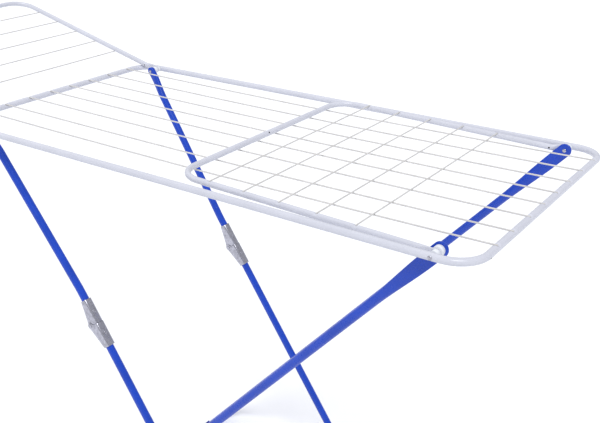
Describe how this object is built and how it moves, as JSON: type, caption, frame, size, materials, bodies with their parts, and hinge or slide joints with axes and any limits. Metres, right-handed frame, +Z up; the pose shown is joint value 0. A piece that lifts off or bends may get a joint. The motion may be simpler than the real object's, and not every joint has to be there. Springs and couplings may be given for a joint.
{
  "type": "clothes drying rack",
  "caption": "Folding clothes drying rack: wired centre frame on crossed tube legs with a locking knee, and two hinged side wings with cross wires.",
  "frame": {"origin": "on the floor under the middle of the whole rack, with the left wing open and the right wing folded", "axes": "+X along the rack towards the end whose wing is folded, +Y across it to the rear, +Z up"},
  "size_m": [1.5508, 0.5666, 1.023],
  "materials": {
    "white_paint": "white powder coat on steel tube, satin",
    "wire_paint": "white dipped coating on steel wire",
    "blue_paint": "blue powder coat on steel tube, satin",
    "zinc_steel": "bright zinc plated pressed steel",
    "white_plastic": "moulded white plastic",
    "blue_plastic": "moulded blue plastic"
  },
  "bodies": {
    "centre_frame": {"centre_frame_tube": "white_paint", "centre_wire_1": "wire_paint", "centre_wire_2": "wire_paint", "centre_wire_3": "wire_paint", "centre_wire_4": "wire_paint", "centre_wire_5": "wire_paint", "centre_wire_6": "wire_paint", "centre_wire_7": "wire_paint", "centre_wire_8": "wire_paint", "pivot_rivet_left_front": "zinc_steel", "pivot_rivet_left_rear": "zinc_steel", "pivot_rivet_right_front": "zinc_steel", "pivot_rivet_right_rear": "zinc_steel", "outer_spacer_left_front": "white_plastic", "outer_spacer_left_rear": "white_plastic", "outer_spacer_right_front": "white_plastic", "outer_spacer_right_rear": "white_plastic", "inner_spacer_left_front": "white_plastic", "inner_spacer_left_rear": "white_plastic", "inner_spacer_right_front": "white_plastic", "inner_spacer_right_rear": "white_plastic"},
    "right_wing": {"right_wing_tube": "white_paint", "right_wing_wire_1": "wire_paint", "right_wing_wire_2": "wire_paint", "right_wing_wire_3": "wire_paint", "right_wing_wire_4": "wire_paint", "right_wing_wire_5": "wire_paint"},
    "left_wing": {"left_wing_tube": "white_paint", "left_wing_wire_1": "wire_paint", "left_wing_wire_2": "wire_paint", "left_wing_wire_3": "wire_paint", "left_wing_wire_4": "wire_paint", "left_wing_wire_5": "wire_paint"},
    "right_legs": {"right_leg_tube": "blue_paint", "crossing_rivet_front": "zinc_steel", "crossing_rivet_rear": "zinc_steel", "crossing_spacer_front": "white_plastic", "crossing_spacer_rear": "white_plastic", "right_foot_front": "blue_plastic", "right_foot_rear": "blue_plastic"},
    "left_upper_legs": {"left_upper_leg_front": "blue_paint", "left_upper_leg_rear": "blue_paint", "knee_upper_bracket_front": "zinc_steel", "knee_upper_bracket_rear": "zinc_steel", "knee_pin_front": "zinc_steel", "knee_pin_rear": "zinc_steel", "upper_bracket_rivet_front": "zinc_steel", "upper_bracket_rivet_rear": "zinc_steel"},
    "left_lower_legs": {"left_lower_leg_tube": "blue_paint", "knee_lower_bracket_front": "zinc_steel", "knee_lower_bracket_rear": "zinc_steel", "lower_bracket_rivet_front": "zinc_steel", "lower_bracket_rivet_rear": "zinc_steel", "crossing_rivet_tail_front": "zinc_steel", "crossing_rivet_tail_rear": "zinc_steel", "left_foot_front": "blue_plastic", "left_foot_rear": "blue_plastic"}
  },
  "joints": [
    {"name": "right_wing_fold", "type": "hinge", "parent": "centre_frame", "child": "right_wing", "pos_m": [0.70749, 0, 0.9], "axis": [0, 1, 0], "range_deg": [0, 164.77]},
    {"name": "left_wing_fold", "type": "hinge", "parent": "centre_frame", "child": "left_wing", "pos_m": [-0.30151, 0, 0.9], "axis": [0, 1, 0], "range_deg": [0, 164.77]},
    {"name": "right_leg_fold", "type": "hinge", "parent": "centre_frame", "child": "right_legs", "pos_m": [0.70749, 0, 0.9], "axis": [0, 1, 0], "range_deg": [0, 45.65]},
    {"name": "left_leg_fold", "type": "hinge", "parent": "centre_frame", "child": "left_upper_legs", "pos_m": [-0.30151, 0, 0.9], "axis": [0, -1, 0], "range_deg": [0, 53.89]},
    {"name": "knee_fold", "type": "hinge", "parent": "left_upper_legs", "child": "left_lower_legs", "pos_m": [-0.05459, 0, 0.51151], "axis": [0, 1, 0], "range_deg": [0, 180.05]}
  ],
  "couplings": [
    {"joint": "left_leg_fold", "follows": "right_leg_fold", "ratio": 1.1803},
    {"joint": "knee_fold", "follows": "right_leg_fold", "ratio": 3.943}
  ]
}
